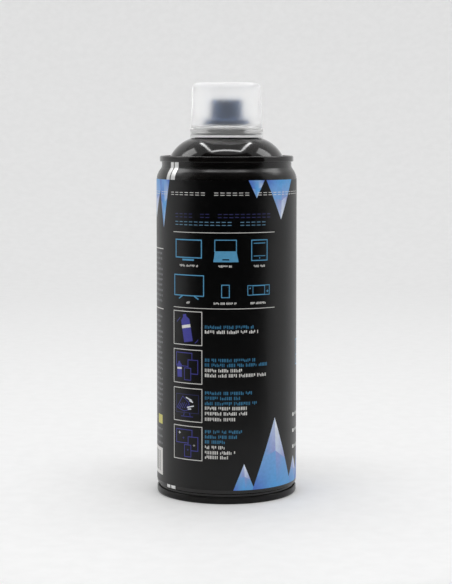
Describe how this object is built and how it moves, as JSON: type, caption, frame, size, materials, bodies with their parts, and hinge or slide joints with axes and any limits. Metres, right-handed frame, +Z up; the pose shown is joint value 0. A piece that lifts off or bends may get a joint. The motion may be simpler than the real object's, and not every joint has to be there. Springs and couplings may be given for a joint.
{
  "type": "lens cleaning spray",
  "caption": "Necked-in tinplate aerosol can of foam cleaner for lenses and displays, with a push-button valve under a small frosted push-fit overcap.",
  "frame": {"origin": "centre of the circle the base seam stands on", "axes": "+Z up along the can's axis, front of the label towards -Y, nozzle towards -Y"},
  "size_m": [0.0654, 0.0653, 0.1908],
  "materials": {
    "black_lacquer": "satin",
    "label_film": "semi-gloss printed film",
    "tinplate": "bright",
    "spring_steel": "drawn",
    "sealant": "matte",
    "gasket_rubber": "matte",
    "white_plastic": "moulded",
    "tube_plastic": "extruded",
    "button_plastic": "moulded satin",
    "frosted_plastic": "frosted translucent"
  },
  "bodies": {
    "can": {"can_body": "black_lacquer", "top_dome": "black_lacquer", "bottom_dome": "black_lacquer", "top_seam_sealant": "sealant", "bottom_seam_sealant": "sealant", "label_wrap": "label_film", "valve_cup": "tinplate", "cup_gasket": "gasket_rubber", "valve_housing": "white_plastic", "stem_gasket": "gasket_rubber", "valve_spring": "spring_steel", "dip_tube": "tube_plastic"},
    "stem": {"valve_stem": "white_plastic"},
    "spray_button": {"actuator": "button_plastic", "nozzle_insert": "button_plastic"},
    "cap": {"overcap": "frosted_plastic"}
  },
  "joints": [
    {"name": "stem_press", "type": "slide", "parent": "can", "child": "stem", "axis": [0, 0, -1], "range_m": [0, 0.002], "stiffness_N_per_m": 1200, "springref_m": -0.004, "deforming": ["valve_spring"]},
    {"name": "button_turn", "type": "hinge", "parent": "stem", "child": "spray_button", "pos_m": [0, 0, 0.1725], "axis": [0, 0, 1], "continuous": true},
    {"name": "cap_lift", "type": "slide", "parent": "can", "child": "cap", "axis": [0, 0, 1], "range_m": [0, 0.04]}
  ]
}
